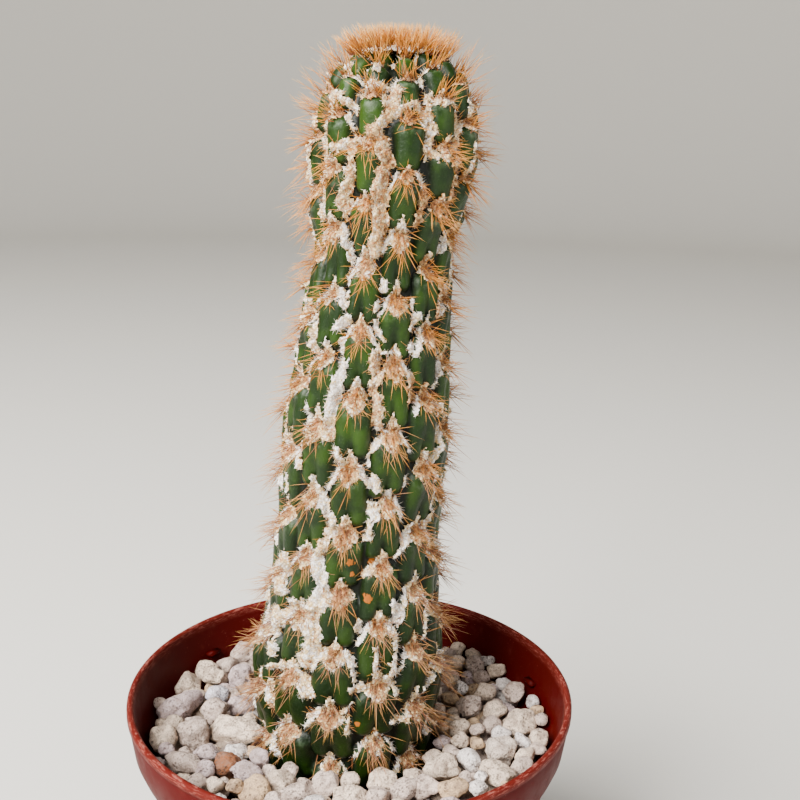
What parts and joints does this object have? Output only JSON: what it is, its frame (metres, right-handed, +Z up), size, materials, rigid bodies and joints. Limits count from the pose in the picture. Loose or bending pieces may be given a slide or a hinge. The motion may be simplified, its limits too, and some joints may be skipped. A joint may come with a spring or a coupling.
{
  "type": "potted golden torch cactus",
  "caption": "Columnar ribbed cactus with woolly areoles and golden spines, leaning slightly in a round plastic nursery pot of potting mix with a pumice top dressing",
  "frame": {"origin": "middle of the pot's underside, where it rests", "axes": "+Z up along the pot's axis, -Y towards the front, and the stem leans a little towards +X"},
  "size_m": [0.105, 0.105, 0.2363],
  "materials": {
    "pot_plastic": "satin",
    "potting_mix": "matte",
    "pumice": "matte",
    "cactus_skin": "satin",
    "wool_and_spines": "matte"
  },
  "bodies": {
    "root": {"pot": "pot_plastic", "potting_mix": "potting_mix", "pumice": "pumice", "cactus_stem": "cactus_skin", "crown_tuft": "wool_and_spines"}
  },
  "joints": []
}
